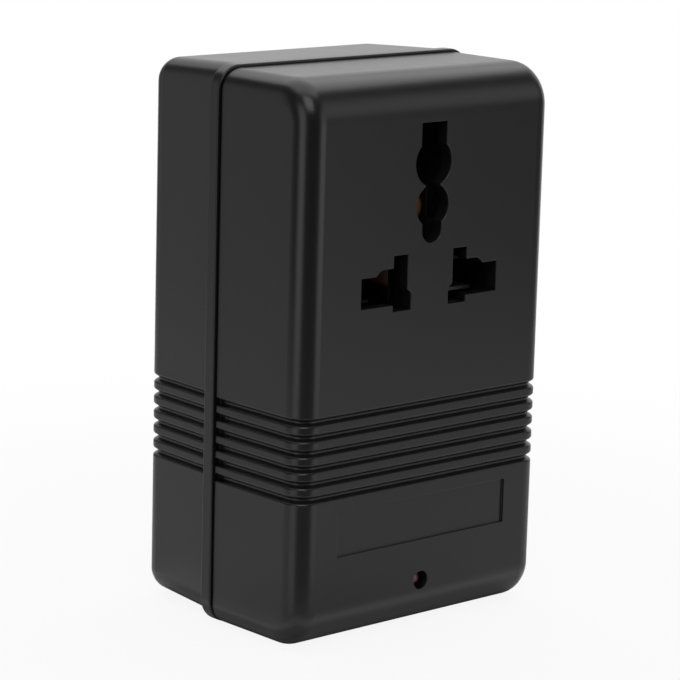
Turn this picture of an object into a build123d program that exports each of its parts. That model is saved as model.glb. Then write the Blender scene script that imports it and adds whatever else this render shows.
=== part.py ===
from build123d import *
import os

os.makedirs("parts", exist_ok=True)

# Travel voltage converter: an upright two-shell case with a universal socket in its front,
# a small transformer inside, and a mains inlet and voltage selector in its back.
# The front looks towards -Y, the back towards +Y. The origin is under the middle of the case,
# on the surface that it stands on. All sizes are in millimetres.

# Case
case_width = 53.7
case_height = 91.1
front_depth = 20.75
front_wall = 2.3
shell_wall = 2.0
side_edge_radius = 3.7
top_edge_radius = 7.0
bottom_edge_radius = 6.6
parting_gap = 0.2
rim_width = 2.35
rim_proud = 0.5
rim_edge_radius = 0.3
rear_root_step = 1.6
rear_root_reach = 0.15
rear_side_draft = 1.2
rear_end_draft = 0.85
rear_rise = 0.3
rear_depth = 19.2
rear_corner_radius = 3.8
rear_edge_radius = 3.8
overrun = 1.0

# Joint between the shells
lip_wall = 0.9
lip_depth = 2.2
lip_clearance = 0.15
tongue_wall = 1.2

# Grooves round the lower case
groove_count = 6
groove_pitch = 2.5
lowest_groove_rise = 25.0
groove_opening = 1.36
groove_depth = 0.8
groove_floor = 0.3
groove_edge_break = 0.12
groove_stop = 0.3
window_depth = 2.1
window_height = 1.2

# Socket apertures, measured from the row of the live and neutral pins, below the case's top
pin_row_drop = 34.1
earth_slot_half = 2.73
earth_slot_top = 26.27
earth_upper_radius = 3.88
earth_upper_height = 19.8
earth_pinch_half = 1.63
earth_lower_radius = 3.48
earth_lower_height = 12.9
earth_tail_half = 2.07
earth_tail_bottom = 6.87
pole_inner = 5.0
pole_outer = 14.84
pole_half_height = 2.455
pole_blade_outer = 7.985
pole_blade_top = 5.457
pole_step_top = 3.45
pole_bump_start = 10.0
pole_bump_middle = 10.9
pole_bump_shoulder = 3.19
pole_bump_end = 11.65
pole_foot_inner = 4.12
pole_foot_bottom = 3.54
pole_slant_low = 0.85
pole_slant_high = 0.15
aperture_edge_break = 0.1

# Label recess and indicator hole in the front
recess_half_width = 18.55
recess_top_rise = 22.2
recess_bottom_rise = 14.8
recess_depth = 0.4
led_rise = 7.9
led_hole_radius = 1.55

# Case posts and screws
post_radius = 3.0
post_x = 17.6
post_low_rise = 7.1
post_high_drop = 6.6
post_pilot_radius = 1.25
post_pilot_depth = 10.0
case_screw_radius = 1.2
case_screw_head_radius = 2.5
case_screw_head_height = 1.7
case_screw_length = 23.0
case_screw_sink = 4.6
screw_clearance = 0.25
cross_width = 0.7
cross_length = 2.6
cross_depth = 0.9

# Socket carrier, its cover and contacts
carrier_depth = 12.0
carrier_half_width = 18.0
carrier_tall_half = 8.6
carrier_drop = 7.6
carrier_wide_rise = 17.0
carrier_head_gap = 4.5
carrier_nose = 0.9
chamber_inner = 3.6
chamber_outer = 15.9
chamber_drop = 4.6
chamber_rise = 6.3
earth_chamber_half = 4.9
earth_chamber_low = 9.6
earth_chamber_high = 26.7
earth_throat_half = 2.6
earth_throat_low = 5.9
contact_sheet = 0.6
contact_leaf = 0.5
contact_setback = 4.1
contact_fit = 0.1
contact_base_inner = 3.5
contact_base_outer = 16.5
contact_base_drop = 5.1
contact_base_rise = 4.5
contact_leaf_inner = 4.95
contact_leaf_half = 3.1
contact_jaw_inner = 8.2
contact_jaw_outer = 14.4
contact_jaw_height = 2.35
contact_jaw_setback = 5.6
earth_base_half = 5.3
earth_base_low = 9.3
earth_base_high = 26.4
earth_leaf_gap = 2.2
earth_leaf_low = 10.1
earth_leaf_mid = 15.6
earth_leaf_upper = 18.0
earth_leaf_high = 26.0
earth_upper_setback = 8.5
tab_width = 2.5
tab_sheet = 0.8
tab_x = 13.25
tab_reach = 3.4
earth_tab_height = 22.6
cover_thickness = 1.8
cover_inset = 0.4
socket_screw_x = 14.2
socket_screw_rise = 13.5
boss_radius = 2.5
boss_shortfall = 0.3
socket_screw_radius = 1.0
socket_screw_head_radius = 2.0
socket_screw_head_height = 1.3
socket_screw_length = 7.0
pilot_clearance = 0.05

# Indicator lamp and its board
led_radius = 1.45
led_setback = 1.0
led_barrel = 3.4
led_flange_radius = 1.9
led_flange_height = 0.8
led_leg = 0.5
led_leg_x = 1.27
board_half_width = 12.0
board_drop = 3.8
board_rise = 3.6
board_thickness = 1.6
board_standoff = 1.0
board_leg_through = 0.6
board_post_x = 9.5
board_post_radius = 1.8
board_stake_radius = 0.7
board_stake_reach = 0.5
board_stake_fit = 0.1
component_rise = 2.3
component_lift = 0.05
component_leg = 0.5
component_leg_out = 0.8
resistor_radius = 1.1
resistor_length = 5.0
resistor_x = -4.9
diode_radius = 0.9
diode_length = 3.6
diode_x = 4.9

# Transformer
core_side_gap = 3.65
core_stack = 20.0
core_advance = 1.5
core_rise = 11.5
core_head_gap = 3.9
bobbin_wall = 1.0
bobbin_fit = 0.15
bobbin_flange = 1.0
bobbin_overhang = 6.65
coil_edge_radius = 1.4
winding_inset = 0.6
tape_thickness = 0.25
tape_width_share = 0.7
strap_width = 14.0
strap_thickness = 0.8
strap_tab = 3.0
bobbin_pin_radius = 0.4
bobbin_pin_height = 4.4
bobbin_pin_inset = 1.0
bobbin_pin_near_x = 3.2
bobbin_pin_far_x = 9.6
board_pin_length = 3.7
fuse_radius = 1.6
fuse_length = 7.0
fuse_lift = 0.05
fuse_gap = 1.6
fuse_pigtail_radius = 0.4
fuse_pigtail_length = 2.5
rib_x = 17.0
rib_thickness = 1.5
rib_grip = 2.4
rib_cap = 1.5

# Voltage selector
selector_drop = 11.6
slider_travel = 5.0
slider_half_width = 4.2
slider_half_height = 3.3
slider_setback = 0.8
slider_clearance = 0.3
slider_groove_width = 1.0
slider_groove_depth = 0.7
slider_edge_radius = 0.4
carriage_half_width = 5.5
carriage_half_height = 4.2
carriage_thickness = 1.75
selector_plate_half_width = 14.0
selector_plate_half_height = 6.5
selector_plate_thickness = 0.8
selector_plate_corner = 1.5
housing_depth = 8.0
housing_wall = 1.5
selector_screw_x = 11.7
selector_screw_radius = 1.2
selector_screw_head_radius = 2.2
selector_screw_head_depth = 1.1
selector_screw_length = 4.6
selector_screw_slope = 42.0
wiper_half_width = 3.1
wiper_thickness = 0.9
wiper_foot = 0.8
wiper_z = 2.2
wiper_gap = 0.2
wiper_bridge = 0.7
terminal_width = 1.4
terminal_thickness = 0.8
terminal_pad_depth = 2.15
terminal_tail = 3.6
terminal_fit = 0.05

# Mains inlet
inlet_drop = 29.6
inlet_pin_spacing = 8.6
inlet_pin_radius = 1.18
inlet_lobe_radius = 3.9
inlet_waist_half = 2.6
inlet_cavity_depth = 10.0
inlet_floor = 1.5
inlet_half_width = 9.6
inlet_half_height = 5.2
inlet_corner_radius = 4.9
bezel_half_width = 11.3
bezel_half_height = 6.3
bezel_thickness = 1.2
bezel_corner_radius = 2.4
inlet_fit = 0.2
inlet_pin_setback = 1.0
inlet_pin_tail = 3.5
inlet_pin_fit = 0.02
barb_half_width = 3.0
barb_height = 0.7
barb_length = 1.4

# Lead wires
lead_radius = 0.55
lead_bend = 3.4
lead_tab_run = 4.2
led_lead_radius = 0.4
lead_descent_y = 2.0
lead_shelf_rise = 3.6
lead_drop_rise = 1.4
lead_cross_rise = 7.2
lead_side_x = 15.6
lead_side_drop = 11.0
lead_turn_x = 11.0
lead_turn_rise = 10.5
lead_front_y = 0.6

# Places that follow from these sizes
case_depth = front_depth + parting_gap + rim_width + rear_depth
front_y = -case_depth / 2
front_inner_y = front_y + front_wall
parting_y = front_y + front_depth
rim_front_y = parting_y + parting_gap
rim_rear_y = rim_front_y + rim_width
rear_y = case_depth / 2
rear_inner_y = rear_y - shell_wall
case_bottom_z = 0
case_top_z = case_bottom_z + case_height
case_middle_z = case_bottom_z + case_height / 2
rear_middle_z = case_middle_z + rear_rise
rear_root_width = case_width - 2 * rear_root_step
rear_root_height = case_height + 2 * rear_root_reach
rear_back_width = rear_root_width - 2 * rear_side_draft
rear_back_height = rear_root_height - 2 * rear_end_draft
pin_row_z = case_top_z - pin_row_drop
led_z = case_bottom_z + led_rise
groove_heights = [case_bottom_z + lowest_groove_rise + groove_pitch * index for index in range(groove_count)]
post_heights = (case_bottom_z + post_low_rise, case_top_z - post_high_drop)
post_places = [(x, z) for x in (-post_x, post_x) for z in post_heights]
core_unit = (case_width / 2 - shell_wall - core_side_gap - strap_thickness) / 3
core_half_width = 3 * core_unit
core_middle_y = -core_advance
core_front_y = core_middle_y - core_stack / 2
core_rear_y = core_middle_y + core_stack / 2
core_bottom_z = case_bottom_z + core_rise
core_top_z = pin_row_z - carrier_drop - core_head_gap
window_bottom_z = core_bottom_z + core_unit
window_top_z = core_top_z - core_unit
selector_z = case_top_z - selector_drop
inlet_z = case_top_z - inlet_drop
carrier_rear_y = front_inner_y + carrier_depth
carrier_top_z = case_top_z - shell_wall - carrier_head_gap
cover_rear_y = carrier_rear_y + cover_thickness
contact_base_y = carrier_rear_y - contact_sheet
tab_end_y = cover_rear_y + tab_reach
socket_screw_z = pin_row_z + socket_screw_rise
board_seat_y = front_y + led_setback + led_radius + led_barrel + board_standoff
board_rear_y = board_seat_y + board_thickness
board_low_z = led_z - board_drop
board_high_z = led_z + board_rise
component_z = led_z + component_rise


def upright(y):
    """A drawing plane across the case at depth y, with X to the right and Z up, facing the front."""
    return Plane.XZ.offset(-y)


def save(piece, name):
    """Labels a finished piece and writes its file."""
    piece.part.label = name
    export_step(piece.part, "parts/" + name + ".step")


def front_form(side_inset, face_inset):
    """The front shell's outside, or its hollow when inset: rounded in side view, then along its sides."""
    with BuildPart() as form:
        with BuildSketch(Plane.YZ.offset(-case_width / 2 + side_inset)) as side_view:
            with Locations(((front_y + face_inset + parting_y) / 2, case_middle_z)):
                Rectangle(front_depth - face_inset, case_height - 2 * side_inset)
            for corner, radius in ((0, bottom_edge_radius), (-1, top_edge_radius)):
                front_corners = side_view.vertices().group_by(Axis.X)[0].sort_by(Axis.Y)
                fillet(front_corners[corner], radius - side_inset)
        extrude(amount=case_width - 2 * side_inset)
        side_edges = form.faces().filter_by(Axis.X).edges()
        open_edges = form.faces().sort_by(Axis.Y)[-1].edges()
        fillet([edge for edge in side_edges if edge not in open_edges], side_edge_radius - side_inset)
    return form.part


def rear_form(inset):
    """The rear shell's drafted body, or its hollow when inset, from the rim back."""
    with BuildPart() as form:
        for y, width, height in ((rim_rear_y, rear_root_width, rear_root_height),
                                 (rear_y - inset, rear_back_width, rear_back_height)):
            with BuildSketch(upright(y)):
                with Locations((0, rear_middle_z)):
                    RectangleRounded(width - 2 * inset, height - 2 * inset, rear_corner_radius - inset)
        loft(ruled=True)
        fillet(form.faces().sort_by(Axis.Y)[-1].edges(), rear_edge_radius - inset)
    return form.part


def groove_section():
    """A groove's section, open to the outside: sloping sides, a narrow floor and broken edges."""
    half = groove_opening / 2
    slope = (half - groove_floor / 2) / groove_depth
    outline = [
        (overrun, half + groove_edge_break),
        (0, half + groove_edge_break),
        (-groove_edge_break, half - slope * groove_edge_break),
        (-groove_depth, groove_floor / 2),
    ]
    mirrored = [(out, -height) for out, height in reversed(outline)]
    Polygon(*outline, *mirrored, align=None)


def groove_ring(points, radius, height):
    """One groove cutter, swept along the case's outline at a height."""
    with BuildPart() as ring:
        with BuildLine(Plane.XY.offset(height)) as run:
            FilletPolyline(*points, radius=radius)
        with BuildSketch(Plane(origin=run.line @ 0, x_dir=(-1, 0, 0), z_dir=run.line % 0)):
            groove_section()
        sweep()
    return ring.part


def earth_aperture():
    """The keyhole shape of the earth aperture, about the pin row."""
    with Locations((0, (earth_upper_height + earth_slot_top) / 2)):
        Rectangle(2 * earth_slot_half, earth_slot_top - earth_upper_height)
    with Locations((0, earth_upper_height)):
        Circle(earth_upper_radius)
    with Locations((0, (earth_upper_height + earth_lower_height) / 2)):
        Rectangle(2 * earth_pinch_half, earth_upper_height - earth_lower_height)
    with Locations((0, earth_lower_height)):
        Circle(earth_lower_radius)
    tail_centre = earth_tail_bottom + earth_tail_half
    with Locations((0, (tail_centre + earth_lower_height) / 2)):
        Rectangle(2 * earth_tail_half, earth_lower_height - tail_centre)
    with Locations((0, tail_centre)):
        Circle(earth_tail_half)


def pole_apertures():
    """The two stepped pole apertures, mirror images about the middle of the case."""
    with BuildLine() as outline:
        upper = Polyline((pole_foot_inner, -pole_slant_low), (pole_inner, -pole_slant_high),
                         (pole_inner, pole_blade_top), (pole_blade_outer, pole_blade_top),
                         (pole_blade_outer, pole_step_top), (pole_bump_start, pole_step_top))
        bump = ThreePointArc(upper @ 1, (pole_bump_middle, pole_bump_shoulder),
                             (pole_bump_end, pole_half_height))
        Polyline(bump @ 1, (pole_outer, pole_half_height), (pole_outer, -pole_half_height),
                 (pole_blade_outer, -pole_half_height), (pole_blade_outer, -pole_foot_bottom),
                 (pole_foot_inner, -pole_foot_bottom), upper @ 0)
    make_face(outline.edges())
    mirror(about=Plane.YZ)


def block(x_low, x_high, y_low, y_high, z_low, z_high, mode=Mode.ADD):
    """A block between two corners, in the part that is being built."""
    with Locations(((x_low + x_high) / 2, (y_low + y_high) / 2, (z_low + z_high) / 2)):
        Box(x_high - x_low, y_high - y_low, z_high - z_low, mode=mode)


def rods(places, radius, y_low, y_high, mode=Mode.ADD):
    """Round rods along Y at (x, z) places, in the part that is being built."""
    with BuildSketch(upright(y_high)) as ends:
        with Locations(*places):
            Circle(radius)
    extrude(ends.sketch, amount=y_high - y_low, mode=mode)


def cross_recesses(places, y):
    """Cross slots cut forwards into screw heads whose tops lie at depth y."""
    with BuildSketch(upright(y)) as crosses:
        with Locations(*places):
            Rectangle(cross_length, cross_width)
            Rectangle(cross_width, cross_length)
    extrude(crosses.sketch, amount=cross_depth, mode=Mode.SUBTRACT)


def core_ribs(wall_y, grip_y):
    """Two plates from a wall that hold the core's outer legs in front or behind, below and above."""
    near, far = sorted((wall_y, grip_y))
    for x in (-rib_x, rib_x):
        block(x - rib_thickness / 2, x + rib_thickness / 2, near, far,
              case_bottom_z + shell_wall, core_top_z + rib_cap)


# Front shell: face, sides, apertures, grooves, posts and ribs
front_outside = front_form(0, 0)
front_hollow = front_form(shell_wall, front_wall)
front_groove_path = [(-case_width / 2, parting_y + overrun), (-case_width / 2, front_y),
                     (case_width / 2, front_y), (case_width / 2, parting_y + overrun)]
front_grooves = [groove_ring(front_groove_path, side_edge_radius, height) for height in groove_heights]
socket_boss_places = [(x, socket_screw_z) for x in (-socket_screw_x, socket_screw_x)]
board_post_places = [(x, led_z) for x in (-board_post_x, board_post_x)]

with BuildPart() as front_shell:
    add(front_outside)
    with BuildSketch(upright(front_y)):
        with Locations((0, pin_row_z)):
            earth_aperture()
    extrude(amount=-front_wall - overrun, mode=Mode.SUBTRACT)
    with BuildSketch(upright(front_y).shift_origin((0, front_y, pin_row_z))):
        pole_apertures()
    extrude(amount=-front_wall - overrun, mode=Mode.SUBTRACT)
    front_face = front_shell.faces().sort_by(Axis.Y)[0]
    chamfer([edge for wire in front_face.inner_wires() for edge in wire.edges()], aperture_edge_break)
    rods([(0, led_z)], led_hole_radius, front_y, front_inner_y + overrun, Mode.SUBTRACT)
    block(-recess_half_width, recess_half_width, front_y - overrun, front_y + recess_depth,
          case_bottom_z + recess_bottom_rise, case_bottom_z + recess_top_rise, Mode.SUBTRACT)
    add(front_hollow, mode=Mode.SUBTRACT)
    with BuildSketch(upright(parting_y)):
        with Locations((0, case_middle_z)):
            RectangleRounded(case_width - 2 * lip_wall, case_height - 2 * lip_wall,
                             side_edge_radius - lip_wall)
    extrude(amount=lip_depth, mode=Mode.SUBTRACT)
    for groove in front_grooves:
        add(groove, mode=Mode.SUBTRACT)
    for height in groove_heights:
        block(-case_width / 2 - overrun, case_width / 2 + overrun, parting_y - window_depth,
              parting_y + overrun, height - window_height / 2, height + window_height / 2, Mode.SUBTRACT)
    rods(post_places, post_radius, front_inner_y, parting_y)
    core_ribs(front_inner_y, core_front_y + rib_grip)
    rods(post_places, post_pilot_radius, parting_y - post_pilot_depth, parting_y, Mode.SUBTRACT)
    rods(socket_boss_places, boss_radius, front_inner_y, carrier_rear_y - boss_shortfall)
    rods(socket_boss_places, socket_screw_radius + pilot_clearance,
         carrier_rear_y - socket_screw_length, carrier_rear_y, Mode.SUBTRACT)
    rods(board_post_places, board_post_radius, front_inner_y, board_seat_y)
    rods(board_post_places, board_stake_radius, board_seat_y, board_rear_y + board_stake_reach)
    block(-core_half_width, core_half_width, core_front_y, core_rear_y,
          core_bottom_z, core_top_z, Mode.SUBTRACT)
save(front_shell, "front_shell")

# Rear shell: tongue, rim, drafted body, grooves, posts, ribs, and openings for inlet and selector
rear_groove_path = [(-rear_root_width / 2, rim_rear_y + groove_stop), (-rear_back_width / 2, rear_y),
                    (rear_back_width / 2, rear_y), (rear_root_width / 2, rim_rear_y + groove_stop)]
rear_grooves = [groove_ring(rear_groove_path, rear_edge_radius, height) for height in groove_heights]
tongue_half_width = case_width / 2 - lip_wall - lip_clearance
tongue_half_height = case_height / 2 - lip_wall - lip_clearance
slider_window_half_width = slider_half_width + slider_travel / 2 + slider_clearance
slider_window_half_height = slider_half_height + slider_clearance
selector_screw_places = [(x, selector_z) for x in (-selector_screw_x, selector_screw_x)]
screw_seat_y = rear_y - case_screw_sink

with BuildPart() as rear_shell:
    with BuildSketch(upright(rim_rear_y)):
        with Locations((0, case_middle_z + rim_proud / 2)):
            RectangleRounded(case_width + 2 * rim_proud, case_height + rim_proud,
                             side_edge_radius + rim_proud)
    extrude(amount=rim_width)
    fillet(rear_shell.faces().filter_by(Axis.Y).edges(), rim_edge_radius)
    add(rear_form(0))
    with BuildSketch(upright(rim_front_y)):
        with Locations((0, case_middle_z)):
            RectangleRounded(2 * tongue_half_width, 2 * tongue_half_height,
                             side_edge_radius - lip_wall - lip_clearance)
    extrude(amount=parting_gap + lip_depth - lip_clearance)
    for groove in rear_grooves:
        add(groove, mode=Mode.SUBTRACT)
    add(rear_form(shell_wall), mode=Mode.SUBTRACT)
    with BuildSketch(upright(rim_rear_y)):
        with Locations((0, case_middle_z)):
            RectangleRounded(2 * (tongue_half_width - tongue_wall), 2 * (tongue_half_height - tongue_wall),
                             side_edge_radius - lip_wall - tongue_wall)
    extrude(amount=rim_width + parting_gap + lip_depth, mode=Mode.SUBTRACT)
    rods(post_places, post_radius, parting_y, rear_inner_y)
    core_ribs(rear_inner_y, core_rear_y - rib_grip)
    rods(post_places, case_screw_radius + screw_clearance, parting_y, rear_y, Mode.SUBTRACT)
    rods(post_places, case_screw_head_radius + screw_clearance, screw_seat_y, rear_y, Mode.SUBTRACT)
    block(-core_half_width, core_half_width, core_front_y, core_rear_y,
          core_bottom_z, core_top_z, Mode.SUBTRACT)
    block(-slider_window_half_width, slider_window_half_width, rear_inner_y - overrun, rear_y + overrun,
          selector_z - slider_window_half_height, selector_z + slider_window_half_height, Mode.SUBTRACT)
    rods(selector_screw_places, selector_screw_radius + pilot_clearance, rear_inner_y, rear_y, Mode.SUBTRACT)
    with BuildSketch(upright(rear_y)):
        with Locations(*selector_screw_places):
            Circle(selector_screw_head_radius + pilot_clearance)
    extrude(amount=selector_screw_head_depth, taper=selector_screw_slope, mode=Mode.SUBTRACT)
    with BuildSketch(upright(rear_y)):
        with Locations((0, inlet_z)):
            RectangleRounded(2 * (bezel_half_width + inlet_fit), 2 * (bezel_half_height + inlet_fit),
                             bezel_corner_radius + inlet_fit)
    extrude(amount=bezel_thickness, mode=Mode.SUBTRACT)
    with BuildSketch(upright(rear_y)):
        with Locations((0, inlet_z)):
            RectangleRounded(2 * (inlet_half_width + inlet_fit), 2 * (inlet_half_height + inlet_fit),
                             inlet_corner_radius + inlet_fit)
    extrude(amount=shell_wall + overrun, mode=Mode.SUBTRACT)
save(rear_shell, "rear_shell")

# Case screws: four, from the back, into the front shell's posts
with BuildPart() as case_screws:
    rods(post_places, case_screw_radius, screw_seat_y - case_screw_length, screw_seat_y)
    rods(post_places, case_screw_head_radius, screw_seat_y, screw_seat_y + case_screw_head_height)
    cross_recesses(post_places, screw_seat_y + case_screw_head_height)
save(case_screws, "case_screws")

# Socket carrier: the insulating block behind the apertures, with a chamber for each contact
with BuildPart() as socket_carrier:
    block(-carrier_half_width, carrier_half_width, front_inner_y, carrier_rear_y,
          pin_row_z - carrier_drop, pin_row_z + carrier_wide_rise)
    block(-carrier_tall_half, carrier_tall_half, front_inner_y, carrier_rear_y,
          pin_row_z - carrier_drop, carrier_top_z)
    chamfer(socket_carrier.faces().sort_by(Axis.Z)[-1].edges().sort_by(Axis.Y)[0], carrier_nose)
    for side in (-1, 1):
        near, far = sorted((side * chamber_inner, side * chamber_outer))
        block(near, far, front_inner_y, carrier_rear_y,
              pin_row_z - chamber_drop, pin_row_z + chamber_rise, Mode.SUBTRACT)
        near, far = sorted((side * (contact_base_inner - contact_fit), side * (contact_base_outer + contact_fit)))
        block(near, far, contact_base_y, carrier_rear_y, pin_row_z - contact_base_drop - contact_fit,
              pin_row_z + contact_base_rise + contact_fit, Mode.SUBTRACT)
    block(-earth_chamber_half, earth_chamber_half, front_inner_y, carrier_rear_y,
          pin_row_z + earth_chamber_low, pin_row_z + earth_chamber_high, Mode.SUBTRACT)
    block(-earth_throat_half, earth_throat_half, front_inner_y, contact_base_y,
          pin_row_z + earth_throat_low, pin_row_z + earth_chamber_low, Mode.SUBTRACT)
    block(-earth_base_half - contact_fit, earth_base_half + contact_fit, contact_base_y, carrier_rear_y,
          pin_row_z + earth_base_low - contact_fit, pin_row_z + earth_base_high + contact_fit, Mode.SUBTRACT)
    rods(socket_boss_places, boss_radius + contact_fit, front_inner_y, carrier_rear_y, Mode.SUBTRACT)
save(socket_carrier, "socket_carrier")


def pole_contact(side):
    """A pole contact: a base plate with an inner leaf, an upper and a lower jaw, and a solder tab."""

    def span(inner, outer):
        return sorted((side * inner, side * outer))

    with BuildPart() as contact:
        block(*span(contact_base_inner, contact_base_outer), contact_base_y, carrier_rear_y,
              pin_row_z - contact_base_drop, pin_row_z + contact_base_rise)
        block(*span(contact_leaf_inner, contact_leaf_inner + contact_leaf), front_y + contact_setback,
              contact_base_y, pin_row_z - contact_leaf_half, pin_row_z + contact_leaf_half)
        for jaw in (-1, 1):
            low, high = sorted((jaw * contact_jaw_height, jaw * (contact_jaw_height + contact_leaf)))
            block(*span(contact_jaw_inner, contact_jaw_outer), front_y + contact_jaw_setback,
                  contact_base_y, pin_row_z + low, pin_row_z + high)
        block(*span(tab_x - tab_width / 2, tab_x + tab_width / 2), carrier_rear_y, tab_end_y,
              pin_row_z - tab_sheet / 2, pin_row_z + tab_sheet / 2)
    return contact


live_contact = pole_contact(1)
save(live_contact, "live_contact")
neutral_contact = pole_contact(-1)
save(neutral_contact, "neutral_contact")

# Earth contact: two pairs of leaves, the lower pair reaching further forward, and a solder tab
with BuildPart() as earth_contact:
    block(-earth_base_half, earth_base_half, contact_base_y, carrier_rear_y,
          pin_row_z + earth_base_low, pin_row_z + earth_base_high)
    for side in (-1, 1):
        near, far = sorted((side * earth_leaf_gap, side * (earth_leaf_gap + contact_leaf)))
        block(near, far, front_y + contact_setback, contact_base_y,
              pin_row_z + earth_leaf_low, pin_row_z + earth_leaf_mid)
        block(near, far, front_y + earth_upper_setback, contact_base_y,
              pin_row_z + earth_leaf_upper, pin_row_z + earth_leaf_high)
    block(-tab_width / 2, tab_width / 2, carrier_rear_y, tab_end_y,
          pin_row_z + earth_tab_height - tab_sheet / 2, pin_row_z + earth_tab_height + tab_sheet / 2)
save(earth_contact, "earth_contact")

# Socket cover: closes the carrier from behind and lets the solder tabs through
with BuildPart() as socket_cover:
    block(-carrier_half_width + cover_inset, carrier_half_width - cover_inset, carrier_rear_y, cover_rear_y,
          pin_row_z - carrier_drop + cover_inset, pin_row_z + carrier_wide_rise - cover_inset)
    block(-carrier_tall_half + cover_inset, carrier_tall_half - cover_inset, carrier_rear_y, cover_rear_y,
          pin_row_z - carrier_drop + cover_inset, carrier_top_z - cover_inset)
    for x, z in ((-tab_x, pin_row_z), (tab_x, pin_row_z), (0, pin_row_z + earth_tab_height)):
        block(x - tab_width / 2 - contact_fit, x + tab_width / 2 + contact_fit, carrier_rear_y, cover_rear_y,
              z - tab_sheet / 2 - contact_fit, z + tab_sheet / 2 + contact_fit, Mode.SUBTRACT)
    rods(socket_boss_places, socket_screw_radius + screw_clearance, carrier_rear_y, cover_rear_y, Mode.SUBTRACT)
save(socket_cover, "socket_cover")

# Socket screws: two, through the cover into the front shell's bosses
with BuildPart() as socket_screws:
    rods(socket_boss_places, socket_screw_radius, cover_rear_y - socket_screw_length, cover_rear_y)
    rods(socket_boss_places, socket_screw_head_radius, cover_rear_y, cover_rear_y + socket_screw_head_height)
    cross_recesses(socket_boss_places, cover_rear_y + socket_screw_head_height)
save(socket_screws, "socket_screws")

# Indicator lamp: a domed lamp set back in its hole, with a flange and two legs through the board
led_dome_y = front_y + led_setback + led_radius
led_base_y = led_dome_y + led_barrel

with BuildPart() as led:
    rods([(0, led_z)], led_radius, led_dome_y, led_base_y)
    with Locations((0, led_dome_y, led_z)):
        Sphere(led_radius)
    rods([(0, led_z)], led_flange_radius, led_base_y - led_flange_height, led_base_y)
    for x in (-led_leg_x, led_leg_x):
        block(x - led_leg / 2, x + led_leg / 2, led_base_y, board_rear_y + board_leg_through,
              led_z - led_leg / 2, led_z + led_leg / 2)
save(led, "led")

# Indicator board, staked on two posts behind the front wall
resistor_ends = [resistor_x + side * (resistor_length / 2 + component_leg_out) for side in (-1, 1)]
diode_ends = [diode_x + side * (diode_length / 2 + component_leg_out) for side in (-1, 1)]
leg_hole_half = component_leg / 2 + board_stake_fit
board_leg_holes = [(x, led_z) for x in (-led_leg_x, led_leg_x)]
board_leg_holes += [(x, component_z) for x in resistor_ends + diode_ends]

with BuildPart() as led_board:
    block(-board_half_width, board_half_width, board_seat_y, board_rear_y, board_low_z, board_high_z)
    rods(board_post_places, board_stake_radius + board_stake_fit, board_seat_y, board_rear_y, Mode.SUBTRACT)
    for x, z in board_leg_holes:
        block(x - leg_hole_half, x + leg_hole_half, board_seat_y, board_rear_y,
              z - leg_hole_half, z + leg_hole_half, Mode.SUBTRACT)
save(led_board, "led_board")


def axial_component(x, radius, length):
    """A small round component lying on the board, with a bent leg at each end."""
    centre_y = board_seat_y - component_lift - radius
    with BuildPart() as component:
        with BuildSketch(Plane.YZ.offset(x - length / 2)):
            with Locations((centre_y, component_z)):
                Circle(radius)
        extrude(amount=length)
        for side in (-1, 1):
            end_x = x + side * (length / 2 + component_leg_out)
            near, far = sorted((x + side * length / 2, end_x + side * component_leg / 2))
            block(near, far, centre_y - component_leg / 2, centre_y + component_leg / 2,
                  component_z - component_leg / 2, component_z + component_leg / 2)
            block(end_x - component_leg / 2, end_x + component_leg / 2, centre_y, board_rear_y,
                  component_z - component_leg / 2, component_z + component_leg / 2)
    return component


save(axial_component(resistor_x, resistor_radius, resistor_length), "led_resistor")
save(axial_component(diode_x, diode_radius, diode_length), "led_diode")

# Transformer core: E laminations with their legs up, closed by I laminations
with BuildPart() as core_e_stack:
    block(-core_half_width, core_half_width, core_front_y, core_rear_y, core_bottom_z, window_top_z)
    for side in (-1, 1):
        near, far = sorted((side * core_unit, side * 2 * core_unit))
        block(near, far, core_front_y, core_rear_y, window_bottom_z, window_top_z, Mode.SUBTRACT)
save(core_e_stack, "core_e_stack")

with BuildPart() as core_i_stack:
    block(-core_half_width, core_half_width, core_front_y, core_rear_y, window_top_z, core_top_z)
save(core_i_stack, "core_i_stack")

# Core strap: a steel band over the top and down both sides, with its ends bent under the core
strap_front_y = core_middle_y - strap_width / 2
strap_rear_y = core_middle_y + strap_width / 2

with BuildPart() as core_strap:
    block(-core_half_width - strap_thickness, core_half_width + strap_thickness, strap_front_y,
          strap_rear_y, core_bottom_z - strap_thickness, core_top_z + strap_thickness)
    block(-core_half_width, core_half_width, strap_front_y, strap_rear_y,
          core_bottom_z, core_top_z, Mode.SUBTRACT)
    block(-core_half_width + strap_tab, core_half_width - strap_tab, strap_front_y, strap_rear_y,
          core_bottom_z - strap_thickness, core_bottom_z, Mode.SUBTRACT)
save(core_strap, "core_strap")

# Bobbin: a square tube round the middle leg, with end flanges and a dividing flange
tube_half_x = core_unit + bobbin_fit + bobbin_wall
tube_half_y = core_stack / 2 + bobbin_fit + bobbin_wall
flange_half_x = 2 * core_unit - bobbin_fit
flange_half_y = core_stack / 2 + bobbin_overhang
bobbin_low_z = window_bottom_z + bobbin_fit
bobbin_high_z = window_top_z - bobbin_fit
bobbin_middle_z = (bobbin_low_z + bobbin_high_z) / 2
lower_bay = (bobbin_low_z + bobbin_flange, bobbin_middle_z - bobbin_flange / 2)
upper_bay = (bobbin_middle_z + bobbin_flange / 2, bobbin_high_z - bobbin_flange)
bobbin_pin_y = core_middle_y + flange_half_y - bobbin_pin_inset
top_pin_places = [(x, bobbin_pin_y)
                  for x in (-bobbin_pin_far_x, -bobbin_pin_near_x, bobbin_pin_near_x, bobbin_pin_far_x)]
board_pin_y = (board_seat_y + board_rear_y) / 2
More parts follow.
